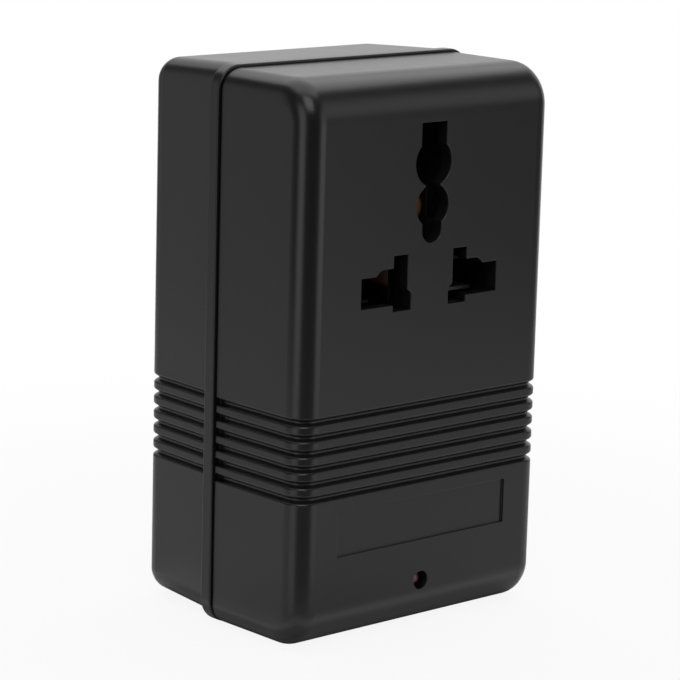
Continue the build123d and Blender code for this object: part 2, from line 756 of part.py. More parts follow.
board_pin_places = [(x, board_pin_y) for x in (-bobbin_pin_far_x, bobbin_pin_far_x)]


def ring(half_x, half_y, z_low, z_high, corner):
    """A solid of rounded rectangular plan between two heights."""
    with BuildSketch(Plane.XY.offset(z_low)) as plan:
        with Locations((0, core_middle_y)):
            RectangleRounded(2 * half_x, 2 * half_y, corner)
    extrude(plan.sketch, amount=z_high - z_low)


with BuildPart() as coil_bobbin:
    block(-tube_half_x, tube_half_x, core_middle_y - tube_half_y, core_middle_y + tube_half_y,
          bobbin_low_z, bobbin_high_z)
    for z_low, z_high in ((bobbin_low_z, lower_bay[0]), (lower_bay[1], upper_bay[0]),
                          (upper_bay[1], bobbin_high_z)):
        ring(flange_half_x, flange_half_y, z_low, z_high, coil_edge_radius)
    block(-tube_half_x + bobbin_wall, tube_half_x - bobbin_wall, core_middle_y - tube_half_y + bobbin_wall,
          core_middle_y + tube_half_y - bobbin_wall, bobbin_low_z, bobbin_high_z, Mode.SUBTRACT)
    with BuildSketch(Plane.XY.offset(upper_bay[1])):
        with Locations(*top_pin_places):
            Circle(bobbin_pin_radius)
    extrude(amount=bobbin_flange, mode=Mode.SUBTRACT)
    with BuildSketch(Plane.XY.offset(bobbin_low_z)):
        with Locations(*board_pin_places):
            Circle(bobbin_pin_radius)
    extrude(amount=bobbin_flange, mode=Mode.SUBTRACT)
save(coil_bobbin, "coil_bobbin")

# Bobbin pins: four standing on the top flange behind the core, two under the bottom flange in front
with BuildPart() as bobbin_pins:
    with BuildSketch(Plane.XY.offset(upper_bay[1])):
        with Locations(*top_pin_places):
            Circle(bobbin_pin_radius)
    extrude(amount=bobbin_flange + bobbin_pin_height)
    with BuildSketch(Plane.XY.offset(lower_bay[0])):
        with Locations(*board_pin_places):
            Circle(bobbin_pin_radius)
    extrude(amount=-bobbin_flange - board_pin_length)
save(bobbin_pins, "bobbin_pins")


def winding(bay):
    """One winding: a rounded block of turns that fills a bay of the bobbin."""
    with BuildPart() as turns:
        ring(flange_half_x - winding_inset, flange_half_y - winding_inset, bay[0], bay[1], coil_edge_radius)
        block(-tube_half_x, tube_half_x, core_middle_y - tube_half_y, core_middle_y + tube_half_y,
              bay[0], bay[1], Mode.SUBTRACT)
    return turns


save(winding(lower_bay), "primary_winding")
save(winding(upper_bay), "secondary_winding")

# Winding tape: one band of insulating tape round each winding
tape_half_x = flange_half_x - winding_inset
tape_half_y = flange_half_y - winding_inset

with BuildPart() as winding_tape:
    for z_low, z_high in (lower_bay, upper_bay):
        trim = (1 - tape_width_share) * (z_high - z_low) / 2
        ring(tape_half_x + tape_thickness, tape_half_y + tape_thickness, z_low + trim, z_high - trim,
             coil_edge_radius + tape_thickness)
        with BuildSketch(Plane.XY.offset(z_low + trim)):
            with Locations((0, core_middle_y)):
                RectangleRounded(2 * tape_half_x, 2 * tape_half_y, coil_edge_radius)
        extrude(amount=z_high - z_low - 2 * trim, mode=Mode.SUBTRACT)
save(winding_tape, "winding_tape")

# Thermal fuse: lies on the top flange behind the core, with a pigtail at each end
fuse_z = bobbin_high_z + fuse_lift + fuse_radius
fuse_y = core_rear_y + fuse_gap + fuse_radius

with BuildPart() as thermal_fuse:
    for radius, half_length in ((fuse_radius, fuse_length / 2),
                                (fuse_pigtail_radius, fuse_length / 2 + fuse_pigtail_length)):
        with BuildSketch(Plane.YZ.offset(-half_length)):
            with Locations((fuse_y, fuse_z)):
                Circle(radius)
        extrude(amount=2 * half_length)
save(thermal_fuse, "thermal_fuse")

# Selector plate: carries the switch behind the back wall, held by two countersunk screws
plate_inner_y = rear_inner_y - selector_plate_thickness

with BuildPart() as selector_plate:
    with BuildSketch(upright(rear_inner_y)):
        with Locations((0, selector_z)):
            RectangleRounded(2 * selector_plate_half_width, 2 * selector_plate_half_height,
                             selector_plate_corner)
            Rectangle(2 * slider_window_half_width, 2 * slider_window_half_height, mode=Mode.SUBTRACT)
        with Locations(*selector_screw_places):
            Circle(selector_screw_radius + pilot_clearance, mode=Mode.SUBTRACT)
    extrude(amount=selector_plate_thickness)
save(selector_plate, "selector_plate")

with BuildPart() as selector_screws:
    rods(selector_screw_places, selector_screw_radius, rear_y - selector_screw_length, rear_y)
    with BuildSketch(upright(rear_y)):
        with Locations(*selector_screw_places):
            Circle(selector_screw_head_radius)
    extrude(amount=selector_screw_head_depth, taper=selector_screw_slope)
    cross_recesses(selector_screw_places, rear_y)
save(selector_screws, "selector_screws")

# Selector housing: an open box behind the plate, with a slot for each terminal
housing_front_y = plate_inner_y - housing_depth
housing_floor_y = housing_front_y + housing_wall
carriage_room_half_width = carriage_half_width + slider_travel / 2 + slider_clearance
carriage_room_half_height = carriage_half_height + slider_clearance
terminal_places = [(x, selector_z + z) for x in (-slider_travel, 0, slider_travel) for z in (-wiper_z, wiper_z)]


def terminal_bars(y_low, y_high, grow, mode=Mode.ADD):
    """The six terminal bars between two depths, grown all round by a fit."""
    with BuildSketch(upright(y_high)) as bars:
        with Locations(*terminal_places):
            Rectangle(terminal_width + 2 * grow, terminal_thickness + 2 * grow)
    extrude(bars.sketch, amount=y_high - y_low, mode=mode)


with BuildPart() as selector_housing:
    block(-carriage_room_half_width - housing_wall, carriage_room_half_width + housing_wall,
          housing_front_y, plate_inner_y, selector_z - carriage_room_half_height - housing_wall,
          selector_z + carriage_room_half_height + housing_wall)
    block(-carriage_room_half_width, carriage_room_half_width, housing_floor_y, plate_inner_y,
          selector_z - carriage_room_half_height, selector_z + carriage_room_half_height, Mode.SUBTRACT)
    terminal_bars(housing_front_y, housing_floor_y, terminal_fit, Mode.SUBTRACT)
save(selector_housing, "selector_housing")

with BuildPart() as selector_terminals:
    terminal_bars(housing_front_y - terminal_tail, housing_floor_y + terminal_pad_depth, 0)
save(selector_terminals, "selector_terminals")

# Selector slider, at its left stop: a carriage in the housing and a handle in the back wall's window
slider_x = -slider_travel / 2
carriage_rear_y = plate_inner_y - slider_clearance
carriage_front_y = carriage_rear_y - carriage_thickness
handle_y = rear_y - slider_setback

with BuildPart() as selector_slider:
    block(slider_x - slider_half_width, slider_x + slider_half_width, carriage_rear_y, handle_y,
          selector_z - slider_half_height, selector_z + slider_half_height)
    fillet(selector_slider.faces().sort_by(Axis.Y)[-1].edges(), slider_edge_radius)
    block(slider_x - slider_groove_width / 2, slider_x + slider_groove_width / 2,
          handle_y - slider_groove_depth, handle_y,
          selector_z - slider_half_height, selector_z + slider_half_height, Mode.SUBTRACT)
    block(slider_x - carriage_half_width, slider_x + carriage_half_width, carriage_front_y, carriage_rear_y,
          selector_z - carriage_half_height, selector_z + carriage_half_height)
save(selector_slider, "selector_slider")

# Selector wipers: two sprung bridges under the carriage, each joining two terminals
wiper_front_y = housing_floor_y + terminal_pad_depth + wiper_gap

with BuildPart() as selector_wipers:
    for row in (-1, 1):
        z = selector_z + row * wiper_z
        block(slider_x - wiper_half_width, slider_x + wiper_half_width, wiper_front_y, carriage_front_y,
              z - wiper_thickness / 2, z + wiper_thickness / 2)
        block(slider_x - wiper_half_width + wiper_foot, slider_x + wiper_half_width - wiper_foot,
              wiper_front_y, carriage_front_y - wiper_bridge,
              z - wiper_thickness / 2, z + wiper_thickness / 2, Mode.SUBTRACT)
save(selector_wipers, "selector_wipers")

# Mains inlet: a bezel flush with the back, and a body with a two-lobed cavity for a lead's connector
inlet_mouth_y = rear_y
inlet_floor_y = inlet_mouth_y - inlet_cavity_depth
inlet_front_y = inlet_floor_y - inlet_floor
inlet_pin_places = [(side * inlet_pin_spacing / 2, inlet_z) for side in (-1, 1)]

with BuildPart() as inlet_body:
    with BuildSketch(upright(inlet_mouth_y)):
        with Locations((0, inlet_z)):
            RectangleRounded(2 * bezel_half_width, 2 * bezel_half_height, bezel_corner_radius)
    extrude(amount=bezel_thickness)
    with BuildSketch(upright(inlet_mouth_y)):
        with Locations((0, inlet_z)):
            RectangleRounded(2 * inlet_half_width, 2 * inlet_half_height, inlet_corner_radius)
    extrude(amount=inlet_mouth_y - inlet_front_y)
    for side in (-1, 1):
        low, high = sorted((inlet_z + side * (inlet_half_height - overrun),
                            inlet_z + side * (inlet_half_height + barb_height)))
        block(-barb_half_width, barb_half_width, rear_inner_y - barb_length, rear_inner_y, low, high)
    with BuildSketch(upright(inlet_mouth_y)):
        with Locations(*inlet_pin_places):
            Circle(inlet_lobe_radius)
        with Locations((0, inlet_z)):
            Rectangle(inlet_pin_spacing, 2 * inlet_waist_half)
    extrude(amount=inlet_cavity_depth, mode=Mode.SUBTRACT)
    rods(inlet_pin_places, inlet_pin_radius + inlet_pin_fit, inlet_front_y, inlet_floor_y, Mode.SUBTRACT)
save(inlet_body, "inlet_body")

inlet_tail_y = inlet_front_y - inlet_pin_tail

with BuildPart() as inlet_pins:
    rods(inlet_pin_places, inlet_pin_radius, inlet_tail_y, inlet_mouth_y - inlet_pin_setback)
save(inlet_pins, "inlet_pins")


def lead(points, radius):
    """A lead wire along a bent route, from its first point to its last."""
    with BuildLine() as route:
        if len(points) > 2:
            FilletPolyline(*points, radius=lead_bend)
        else:
            Line(*points)
    with BuildSketch(Plane(origin=route.line @ 0, z_dir=route.line % 0)) as section:
        Circle(radius)
    sweep(section.sketch, path=route.line)


# Lead wires, each from a soldered end to a soldered end
pin_top_z = bobbin_high_z + bobbin_pin_height
lead_shelf_z = core_top_z + lead_shelf_rise
lead_drop_z = core_top_z + lead_drop_rise
lead_cross_z = core_top_z + lead_cross_rise
lead_side_z = selector_z - lead_side_drop
lead_turn_z = pin_row_z + lead_turn_rise
fuse_end_x = -fuse_length / 2 - fuse_pigtail_length
live_tail_x = -inlet_pin_spacing / 2
selector_tail_y = housing_front_y - terminal_tail

with BuildPart() as inlet_live_lead:
    lead([(live_tail_x, inlet_tail_y, inlet_z), (live_tail_x, lead_descent_y, inlet_z),
          (fuse_end_x, lead_descent_y, lead_shelf_z), (fuse_end_x, fuse_y, lead_drop_z),
          (fuse_end_x, fuse_y, fuse_z + fuse_pigtail_radius)], lead_radius)
save(inlet_live_lead, "inlet_live_lead")

with BuildPart() as inlet_neutral_lead:
    lead([(-live_tail_x, inlet_tail_y, inlet_z), (-live_tail_x, lead_descent_y, inlet_z),
          (bobbin_pin_near_x, lead_descent_y, lead_shelf_z), (bobbin_pin_near_x, bobbin_pin_y, lead_drop_z),
          (bobbin_pin_near_x, bobbin_pin_y, pin_top_z)], lead_radius)
save(inlet_neutral_lead, "inlet_neutral_lead")

with BuildPart() as selector_leads:
    for side in (-1, 1):
        lead([(side * slider_travel, selector_tail_y, selector_z - wiper_z),
              (side * slider_travel, lead_descent_y, selector_z - wiper_z),
              (side * lead_side_x, lead_descent_y, lead_side_z),
              (side * lead_side_x, lead_descent_y, lead_shelf_z),
              (side * bobbin_pin_far_x, bobbin_pin_y, lead_drop_z),
              (side * bobbin_pin_far_x, bobbin_pin_y, pin_top_z)], lead_radius)
save(selector_leads, "selector_leads")

with BuildPart() as output_leads:
    lead([(-tab_x, tab_end_y, pin_row_z), (-tab_x, tab_end_y + lead_tab_run, pin_row_z),
          (-bobbin_pin_near_x, bobbin_pin_y, lead_cross_z),
          (-bobbin_pin_near_x, bobbin_pin_y, pin_top_z)], lead_radius)
    lead([(tab_x, tab_end_y, pin_row_z), (tab_x, tab_end_y + lead_tab_run, pin_row_z),
          (lead_turn_x, lead_front_y, lead_turn_z), (0, lead_front_y, selector_z + wiper_z),
          (0, selector_tail_y, selector_z + wiper_z)], lead_radius)
save(output_leads, "output_leads")

with BuildPart() as led_leads:
    for x, y in board_pin_places:
        lead([(x, y, bobbin_low_z - board_pin_length), (x, y, board_high_z)], led_lead_radius)
save(led_leads, "led_leads")
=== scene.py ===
import math
import random
import bpy
from mathutils import Matrix, Vector


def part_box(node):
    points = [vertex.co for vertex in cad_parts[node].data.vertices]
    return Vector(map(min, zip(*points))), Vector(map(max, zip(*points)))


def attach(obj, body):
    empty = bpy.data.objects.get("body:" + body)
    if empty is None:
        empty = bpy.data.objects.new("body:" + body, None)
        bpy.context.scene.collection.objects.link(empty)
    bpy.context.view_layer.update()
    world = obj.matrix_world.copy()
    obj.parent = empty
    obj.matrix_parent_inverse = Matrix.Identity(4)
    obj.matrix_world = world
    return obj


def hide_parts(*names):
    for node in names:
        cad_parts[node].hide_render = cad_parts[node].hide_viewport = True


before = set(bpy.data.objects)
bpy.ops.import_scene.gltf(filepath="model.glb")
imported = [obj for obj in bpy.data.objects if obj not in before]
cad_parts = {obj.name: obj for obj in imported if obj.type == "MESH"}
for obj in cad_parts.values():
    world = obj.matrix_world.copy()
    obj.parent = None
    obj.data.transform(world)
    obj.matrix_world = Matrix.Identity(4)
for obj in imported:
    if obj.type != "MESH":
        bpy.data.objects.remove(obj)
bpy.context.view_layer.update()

# Front shell: one moulding in black ABS with a fine spark-eroded grain. It carries the socket's
# apertures, the grooves and the indicator's hole, and closes on the rear shell at the parting line.


class Field:
    """A value in a shader. Its operators add the nodes that work it out."""

    def __init__(self, tree, socket):
        self.tree = tree
        self.socket = socket

    def join(self, operation, first, second):
        node = self.tree.nodes.new("ShaderNodeMath")
        node.operation = operation
        for value, target in zip((first, second), node.inputs):
            if isinstance(value, Field):
                self.tree.links.new(value.socket, target)
            else:
                target.default_value = value
        return Field(self.tree, node.outputs[0])

    def __add__(self, other):
        return self.join("ADD", self, other)

    def __radd__(self, other):
        return self.join("ADD", other, self)

    def __sub__(self, other):
        return self.join("SUBTRACT", self, other)

    def __rsub__(self, other):
        return self.join("SUBTRACT", other, self)

    def __mul__(self, other):
        return self.join("MULTIPLY", self, other)

    def __rmul__(self, other):
        return self.join("MULTIPLY", other, self)

    def __mod__(self, other):
        return self.join("FLOORED_MODULO", self, other)

    def __gt__(self, other):
        return self.join("GREATER_THAN", self, other)

    def __lt__(self, other):
        return self.join("LESS_THAN", self, other)


class Nodes:
    """A node tree, of a material or of the world."""

    def __init__(self, tree):
        self.tree = tree

    def node(self, kind, settings, values, output=0):
        """Any node: its type, its settings, its sockets' values or links, and the output that is read."""
        made = self.tree.nodes.new(kind)
        for key, value in settings.items():
            setattr(made, key, value)
        for key, value in values.items():
            if isinstance(value, Field):
                self.tree.links.new(value.socket, made.inputs[key])
            else:
                made.inputs[key].default_value = value
        return Field(self.tree, made.outputs[output])

    def vector(self, operation, *values):
        """Vector Math on places or directions. A length or a dot product comes out as a number."""
        output = "Value" if operation in ("LENGTH", "DOT_PRODUCT") else 0
        return self.node("ShaderNodeVectorMath", {"operation": operation}, dict(enumerate(values)), output)

    def part(self, vector, name):
        """One coordinate of a vector."""
        return self.node("ShaderNodeSeparateXYZ", {}, {"Vector": vector}, name)

    def step(self, value, low, high):
        """A soft step from 0 at low to 1 at high, which falls where low is the larger."""
        return self.node("ShaderNodeMapRange", {"interpolation_type": "SMOOTHSTEP"},
                         {"Value": value, "From Min": low, "From Max": high})


class Finish(Nodes):
    """A material round one Principled shader."""

    def __init__(self, name, color, roughness, **constants):
        self.material = bpy.data.materials.new(name)
        self.material.use_nodes = True
        super().__init__(self.material.node_tree)
        self.shader = self.tree.nodes["Principled BSDF"]
        self.material.diffuse_color = (*color, 1)
        self.shader.inputs["Base Color"].default_value = (*color, 1)
        self.shader.inputs["Roughness"].default_value = roughness
        for key, value in constants.items():
            self.shader.inputs[key.replace("_", " ")].default_value = value

    def place(self):
        """The point's place in the object's own frame, in metres."""
        return self.node("ShaderNodeTexCoord", {}, {}, "Object")

    def axis(self, name):
        """One coordinate of that place."""
        return self.part(self.place(), name)

    def noise(self, cells, detail=2.0, rough=0.5, stretch=None):
        """Noise between 0 and 1, this many cells to the metre, drawn out along an axis by stretch."""
        where = self.place()
        if stretch:
            where = self.vector("MULTIPLY", where, stretch)
        return self.node("ShaderNodeTexNoise", {}, {"Vector": where, "Scale": cells, "Detail": detail,
                                                    "Roughness": rough})

    def colors(self, factor, first, second):
        """A colour between two, each a triple or a Field."""
        values = {0: factor, 6: first if isinstance(first, Field) else (*first, 1),
                  7: second if isinstance(second, Field) else (*second, 1)}
        return self.node("ShaderNodeMix", {"data_type": "RGBA"}, values, 2)

    def feed(self, name, field):
        """Lets a field vary one of the shader's sockets over the surface."""
        self.tree.links.new(field.socket, self.shader.inputs[name])

    def bump(self, height, distance, strength=0.4, edge=0.0):
        """Raises the surface by a field of heights in metres, and breaks sharp edges by a radius."""
        values = {"Height": height, "Distance": distance, "Strength": strength}
        if edge:
            values["Normal"] = self.node("ShaderNodeBevel", {"samples": 6}, {"Radius": edge})
        self.feed("Normal", self.node("ShaderNodeBump", {}, values))


def dress(finish, *names):
    """Gives CAD nodes this finish, in their own material slots."""
    for name in names:
        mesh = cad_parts[name].data
        mesh.materials.clear()
        mesh.materials.append(finish.material)


grain_height = 0.000006
broken_edge = 0.0002
plastic = Finish("case_black", (0.0085, 0.0085, 0.0087), 0.28, Specular_IOR_Level=0.5)
plastic.feed("Roughness", 0.26 + 0.05 * plastic.noise(240.0, 3.0))
plastic.bump(plastic.noise(6500.0, 2.0, 0.6), grain_height, edge=broken_edge)
dress(plastic, "front_shell")

# Socket carrier: black insulating plastic, moulded with an open chamber for each contact. It sits
# on the front wall behind the apertures, where its walls show matt and darker than the case.

insulator = Finish("insulator_black", (0.012, 0.012, 0.012), 0.55, Specular_IOR_Level=0.3)
insulator.bump(insulator.noise(3000.0, 2.0), 0.00001)
dress(insulator, "socket_carrier")

# Live and neutral contacts: each is stamped and folded from one copper strip and pressed into the
# carrier. The neutral one's inner leaf is painted bright over the row, a painted highlight where it
# shows lit. The live one's lower jaw is painted pale grey, a painted highlight of a lit ledge, and
# the rest is painted near black as painted shade.

pin_row = 0.0570
row_blend = 0.0006
inner_leaves = 0.0060
cut_edge = 0.0001
leaf_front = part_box("neutral_contact")[0].y
pole_copper = Finish("pole_copper", (0.66, 0.42, 0.31), 0.5, Metallic=0.7)
sideways = pole_copper.axis("X")
over_row = pole_copper.step(pole_copper.axis("Z"), pin_row - row_blend, pin_row + row_blend)
on_leaf = ((sideways * sideways) < inner_leaves ** 2) * (pole_copper.axis("Y") > leaf_front + cut_edge)
# Painted highlights on the live one's lower jaw and the neutral one's inner leaf; painted shade elsewhere.
lit_ledge_highlight = (sideways > inner_leaves) * (1.0 - over_row)
shade_and_ledge_highlight = pole_copper.colors(lit_ledge_highlight, (0.016, 0.014, 0.012), (0.24, 0.235, 0.225))
lit_leaf_highlight = on_leaf * over_row * (sideways < 0.0)
pole_copper.feed("Base Color", pole_copper.colors(lit_leaf_highlight, shade_and_ledge_highlight, (0.90, 0.50, 0.33)))
pole_copper.feed("Roughness", 0.44 + 0.2 * pole_copper.noise(420.0, 4.0, 0.6))
dress(pole_copper, "live_contact", "neutral_contact")

# Earth contact: one folded copper strip with two pairs of leaves, for low and high earth pins. A soft
# bright oval on the lower right leaf is a painted glint, and the rest is painted near black as shade.

glint_setback = 0.00225
glint_over_row = 0.0119
glint_half_depth = 0.0014
glint_half_height = 0.0021
glint_full = 0.5
glint_gone = 1.1
no_limit = 1000.0
earth_copper = Finish("earth_copper", (0.90, 0.42, 0.22), 0.45, Metallic=0.25)
glint_middle = (0.0, leaf_front + glint_setback, pin_row + glint_over_row)
glint_reach = (no_limit, glint_half_depth, glint_half_height)
from_glint = earth_copper.vector("SUBTRACT", earth_copper.place(), glint_middle)
glint_distance = earth_copper.vector("LENGTH", earth_copper.vector("DIVIDE", from_glint, glint_reach))
# Painted glint: a soft bright oval on the lower right leaf; the rest of the leaf is painted shade.
painted_glint = earth_copper.step(glint_distance, glint_gone, glint_full) * (earth_copper.axis("X") > 0.0)
earth_copper.feed("Base Color", earth_copper.colors(painted_glint, (0.014, 0.008, 0.006), (1.0, 0.43, 0.20)))
earth_copper.feed("Roughness", 0.36 + 0.24 * earth_copper.noise(900.0, 3.0))
dress(earth_copper, "earth_contact")

# Socket cover: a flat moulding of the carrier's plastic. It closes the chambers from behind, keeps
# the contacts in, and lets their solder tabs through.

dress(insulator, "socket_cover")

# Socket screws: two short steel screws, bright with zinc. They hold cover and carrier on the bosses
# of the front wall.

zinc = Finish("screw_steel", (0.44, 0.44, 0.43), 0.30, Metallic=1.0)
zinc.feed("Base Color", zinc.colors(zinc.noise(900.0, 3.0), (0.40, 0.40, 0.39), (0.50, 0.49, 0.46)))
zinc.feed("Roughness", 0.24 + 0.16 * zinc.noise(1500.0, 2.0))
dress(zinc, "socket_screws")

# Indicator lamp: a 3 mm lamp of red tinted epoxy. Its legs are soldered in its board, and its dome
# stands a little back in the hole of the front wall.

lamp_epoxy = Finish("lamp_red", (0.12, 0.03, 0.04), 0.16, IOR=1.52, Coat_Weight=0.8)
tint = lamp_epoxy.noise(700.0, 2.0)
lamp_epoxy.feed("Base Color", lamp_epoxy.colors(tint, (0.15, 0.040, 0.050), (0.09, 0.018, 0.028)))
dress(lamp_epoxy, "led")

# Lamp board: a small piece of brown paper laminate with faint fibres along it, staked on two posts
# behind the front wall.

laminate = Finish("board_brown", (0.42, 0.26, 0.12), 0.50)
fibres = laminate.noise(2600.0, 3.0, 0.6, (1.0, 1.0, 0.15))
laminate.feed("Base Color", laminate.colors(fibres, (0.46, 0.30, 0.15), (0.34, 0.20, 0.09)))
dress(laminate, "led_board")

# Lamp resistor: a lacquered body with four colour rings, brown to the left and gold to the right of
# its middle. It lies on the front side of the board.

ring_pitch = 0.00085
ring_share = 0.42
rings_half_length = 1.9 * ring_pitch
beige = (0.62, 0.47, 0.30)
resistor_low, resistor_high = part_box("led_resistor")
lacquer = Finish("resistor_body", beige, 0.30, Coat_Weight=0.5)
along = lacquer.axis("X") - (resistor_low.x + resistor_high.x) / 2
ringed = ((along + 0.5 * ring_pitch) % ring_pitch) < ring_share * ring_pitch
ringed = ringed * ((along * along) < rings_half_length ** 2)
rings = lacquer.colors(along > 0.0, (0.36, 0.11, 0.04), (0.65, 0.40, 0.05))
lacquer.feed("Base Color", lacquer.colors(ringed, beige, rings))
dress(lacquer, "led_resistor")

# Lamp diode: a black epoxy body beside the resistor, with a pale ring at its cathode.

cathode_offset = 0.0011
cathode_width = 0.0005
diode_low, diode_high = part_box("led_diode")
cathode = (diode_low.x + diode_high.x) / 2 + cathode_offset
diode_epoxy = Finish("diode_black", (0.02, 0.02, 0.02), 0.28)
across = diode_epoxy.axis("X")
cathode_ring = (across > cathode) * (across < cathode + cathode_width)
diode_epoxy.feed("Base Color", diode_epoxy.colors(cathode_ring, (0.02, 0.02, 0.02), (0.62, 0.62, 0.60)))
dress(diode_epoxy, "led_diode")

# Transformer core: forty E sheets and forty I sheets of silicon steel, half a millimetre thick,
# dipped in dark varnish. The sheets' edges show as fine lines all round.

sheet_count = 40
sheet_gap = 0.00005
sheet_slip = 0.00006
e_low, e_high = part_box("core_e_stack")
i_low, i_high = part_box("core_i_stack")
core_half_width = e_high.x
core_unit = i_high.z - i_low.z
core_middle = (e_low.y + e_high.y) / 2
core_half_stack = (e_high.y - e_low.y) / 2


def built(name, vertices, faces, finish, smooth=False):
    """A new mesh object from lists of corners and faces."""
    mesh = bpy.data.meshes.new(name)
    mesh.from_pydata(vertices, [], faces)
    mesh.validate()
    mesh.update()
    if smooth:
        for face in mesh.polygons:
            face.use_smooth = True
    mesh.materials.append(finish.material)
    made = bpy.data.objects.new(name, mesh)
    bpy.context.scene.collection.objects.link(made)
    return made


def sheets(outline, seed):
    """Corners and faces of the stacked sheets: an outline in X and Z, a hair out of line one by one."""
    chance = random.Random(seed)
    pitch = 2 * core_half_stack / sheet_count
    vertices, faces = [], []
    for index in range(sheet_count):
        slip = chance.uniform(0.0, sheet_slip)
        near = core_middle - core_half_stack + index * pitch + sheet_gap / 2
        far = near + pitch - sheet_gap
        base, count = len(vertices), len(outline)
        for y in (near, far):
            vertices += [(x - math.copysign(slip, x), y, z) for x, z in outline]
        faces.append([base + corner for corner in range(count)])
        faces.append([base + count + corner for corner in reversed(range(count))])
        for corner in range(count):
            after = (corner + 1) % count
            faces.append([base + after, base + corner, base + count + corner, base + count + after])
    return vertices, faces


varnished = Finish("core_steel", (0.16, 0.16, 0.17), 0.42, Metallic=0.75)
varnish = varnished.noise(300.0, 4.0, 0.6)
varnished.feed("Base Color", varnished.colors(varnish, (0.11, 0.11, 0.12), (0.24, 0.22, 0.20)))
varnished.feed("Roughness", 0.32 + 0.25 * varnish)

e_outline = [(-3, 0), (3, 0), (3, 4), (2, 4), (2, 1), (1, 1), (1, 4),
             (-1, 4), (-1, 1), (-2, 1), (-2, 4), (-3, 4)]
e_corners = [(x * core_unit, e_low.z + z * core_unit) for x, z in e_outline]
core_e = built("core_e_sheets", *sheets(e_corners, 11), varnished)
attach(core_e, "case")
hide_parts("core_e_stack")

i_corners = [(-core_half_width, i_low.z), (core_half_width, i_low.z),
             (core_half_width, i_high.z), (-core_half_width, i_high.z)]
core_i = built("core_i_sheets", *sheets(i_corners, 12), varnished)
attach(core_i, "case")
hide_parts("core_i_stack")

# Core strap: a band of bright brushed steel, bent over the core and clinched under it. It keeps the
# sheets together.

bright_steel = Finish("strap_steel", (0.42, 0.42, 0.41), 0.32, Metallic=1.0)
brushed = bright_steel.noise(2400.0, 3.0, 0.6, (1.0, 0.05, 1.0))
bright_steel.feed("Roughness", 0.24 + 0.22 * brushed)
bright_steel.feed("Base Color", bright_steel.colors(brushed, (0.38, 0.38, 0.37), (0.48, 0.48, 0.46)))
dress(bright_steel, "core_strap")

# Bobbin: natural nylon, moulded with a square tube round the core's middle limb and two bays for
# the windings.

nylon = Finish("bobbin_nylon", (0.74, 0.71, 0.60), 0.42, Subsurface_Weight=0.1, Subsurface_Scale=0.001)
nylon.bump(nylon.noise(1800.0, 2.0), 0.00001)
dress(nylon, "coil_bobbin")

# Bobbin pins: tinned brass wire, pressed into the bobbin's two end flanges. The windings' ends and
# the leads are soldered to them.

tin = Finish("tinned_pin", (0.66, 0.66, 0.63), 0.26, Metallic=1.0)
tin.feed("Roughness", 0.20 + 0.20 * tin.noise(2500.0, 2.0))
dress(tin, "bobbin_pins")

# Windings: enamelled copper wire in even turns, fine in the primary and thicker in the secondary.
# Each bay's outer layer is wound as one helix over a plain inner body.

coil_corner = 0.0014
bore_corner = coil_corner / 8
tube_wall = 0.00115
wire_sides = 8
corner_steps = 5


def rounded_loop(half_x, half_y, corner):
    """Points round a rounded rectangle, with each one's outward direction."""
    loop = []
    for quarter, (side_x, side_y) in enumerate(((1, 1), (-1, 1), (-1, -1), (1, -1))):
        for step in range(corner_steps + 1):
            angle = (quarter + step / corner_steps) * math.pi / 2
            out = Vector((math.cos(angle), math.sin(angle), 0))
            centre = Vector((side_x * (half_x - corner), side_y * (half_y - corner), 0))
            loop.append((centre + corner * out, out))
    return loop


def coil(name, node, wire, finish):
    """A helix of touching turns that fills a winding's bay, over the inner body that it hides."""
    low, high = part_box(node)
    bay_height = high.z - low.z
    turns = int(bay_height / wire)
    radius = bay_height / turns / 2
    loop = rounded_loop(high.x - radius, (high.y - low.y) / 2 - radius, coil_corner - radius)
    vertices, faces = [], []
    count = turns * len(loop) - len(loop) + 1
    for index in range(count):
        point, out = loop[index % len(loop)]
        height = low.z + radius + (bay_height - 2 * radius) * index / (count - 1)
        for side in range(wire_sides):
            angle = 2 * math.pi * side / wire_sides
            vertices.append(point + radius * math.cos(angle) * out
                            + Vector((0, core_middle, height + radius * math.sin(angle))))
    for index in range(count - 1):
        for side in range(wire_sides):
            here = index * wire_sides + side
            beside = index * wire_sides + (side + 1) % wire_sides
            faces.append((here, here + wire_sides, beside + wire_sides, beside))
    faces.append(list(reversed(range(wire_sides))))
    faces.append(list(range((count - 1) * wire_sides, count * wire_sides)))
    body = [point for point, out in loop]
    bore = [point for point, out in rounded_loop(core_unit + tube_wall, core_half_stack + tube_wall,
                                                 bore_corner)]
    base, ring = len(vertices), len(body)
    for line, height in ((body, low.z), (body, high.z), (bore, high.z), (bore, low.z)):
        vertices += [point + Vector((0, core_middle, height)) for point in line]
    for row in range(4):
        for step in range(ring):
            here, after = base + row * ring, base + ((row + 1) % 4) * ring
            faces.append((here + step, here + (step + 1) % ring,
                          after + (step + 1) % ring, after + step))
    return built(name, vertices, faces, finish, True)


enamel = Finish("enamelled_copper", (0.42, 0.15, 0.06), 0.24, Metallic=0.9, Coat_Weight=0.6)
enamel.feed("Base Color", enamel.colors(enamel.noise(500.0, 3.0), (0.48, 0.18, 0.07), (0.33, 0.11, 0.045)))
for name, node, wire in (("primary_turns", "primary_winding", 0.00027),
                         ("secondary_turns", "secondary_winding", 0.00043)):
    winding = coil(name, node, wire, enamel)
    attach(winding, "case")
    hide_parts(node)

# Winding tape: one band of yellow polyester film round the middle of each winding, slightly
# creased, which holds the last turn down.

tape = Finish("tape_yellow", (0.72, 0.50, 0.07), 0.28, Coat_Weight=0.3)
tape.bump(tape.noise(240.0, 3.0, 0.5, (1.0, 1.0, 0.2)), 0.00006, 0.5)
dress(tape, "winding_tape")

# Thermal fuse: a small metal can with a dark sealed end and a pigtail at each end. It lies on the
# bobbin's top flange, behind the core.

